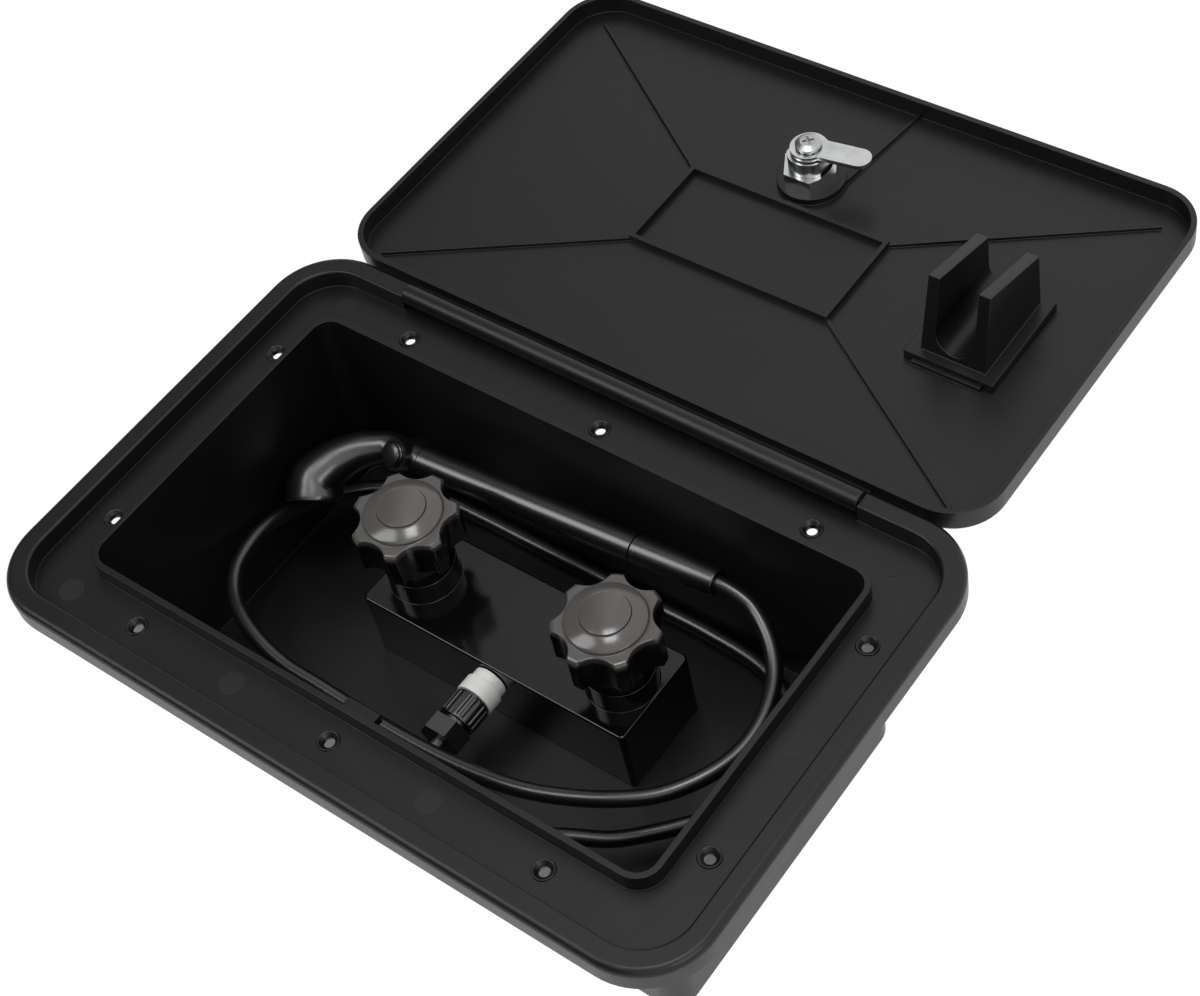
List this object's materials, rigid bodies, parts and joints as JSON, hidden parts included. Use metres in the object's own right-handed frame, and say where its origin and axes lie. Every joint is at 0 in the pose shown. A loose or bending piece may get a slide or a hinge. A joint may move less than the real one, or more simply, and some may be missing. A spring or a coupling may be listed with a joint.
{
  "type": "exterior shower box",
  "caption": "Recessed wall box with a hinged locking door, a faucet with two valve knobs, a hose and a hand shower.",
  "frame": {"origin": "centre of the flange's underside, in the plane of the outer wall", "axes": "+Z out of the wall, +X along the hinge, +Y from the faucet's side of the pocket towards the hinge; the door is drawn open by 180 degrees"},
  "size_m": [0.335, 0.4004, 0.162],
  "materials": {
    "satin_black": "satin",
    "gloss_black": "glossy",
    "smoke": "glossy",
    "white_plastic": "glossy",
    "dark_plastic": "satin",
    "zinc": "bright",
    "steel": "plain",
    "rubber": "matt",
    "vinyl": "glossy"
  },
  "bodies": {
    "box": {"housing": "satin_black", "hinge_pin": "steel", "faucet_body": "gloss_black", "shank_seals": "rubber", "shank_nuts": "dark_plastic", "valve_bonnets": "dark_plastic", "stem_seals": "rubber", "outlet_collar": "white_plastic", "outlet_coupling": "gloss_black", "hose_nut": "gloss_black", "hose_seals": "rubber", "hose_tails": "dark_plastic", "shower_hose": "vinyl", "wand_handle": "gloss_black", "wand_sleeve": "gloss_black", "wand_valve": "gloss_black", "wand_head": "gloss_black", "spray_plate": "dark_plastic", "button_spring": "steel"},
    "lid": {"lid": "satin_black", "lock_barrel": "zinc", "lock_nut": "zinc", "shower_clip": "satin_black"},
    "lock": {"lock_plug": "zinc", "lock_cam": "zinc", "lock_washer": "zinc", "lock_screw": "steel"},
    "cold_valve": {"cold_stem": "dark_plastic", "cold_washer": "rubber", "cold_knob": "smoke", "cold_knob_screw": "steel", "cold_index": "smoke"},
    "hot_valve": {"hot_stem": "dark_plastic", "hot_washer": "rubber", "hot_knob": "smoke", "hot_knob_screw": "steel", "hot_index": "smoke"},
    "button": {"flow_button": "gloss_black"}
  },
  "joints": [
    {"name": "lid_hinge", "type": "hinge", "parent": "box", "child": "lid", "pos_m": [0, 0.1, 0.009], "axis": [1, 0, 0], "range_deg": [0, 180]},
    {"name": "lock_turn", "type": "hinge", "parent": "lid", "child": "lock", "pos_m": [0, 0.23855, 0.01], "axis": [0, 0, 1], "range_deg": [-9, 81]},
    {"name": "cold_turn", "type": "hinge", "parent": "box", "child": "cold_valve", "pos_m": [-0.0508, 0.0165, -0.03], "axis": [0, 0, 1], "range_deg": [0, 180]},
    {"name": "hot_turn", "type": "hinge", "parent": "box", "child": "hot_valve", "pos_m": [0.0508, 0.0165, -0.03], "axis": [0, 0, 1], "range_deg": [0, 180]},
    {"name": "button_press", "type": "slide", "parent": "box", "child": "button", "axis": [0.2006, 0.7222, -0.662], "range_m": [0, 0.0025], "stiffness_N_per_m": 600, "deforming": ["button_spring"]}
  ]
}
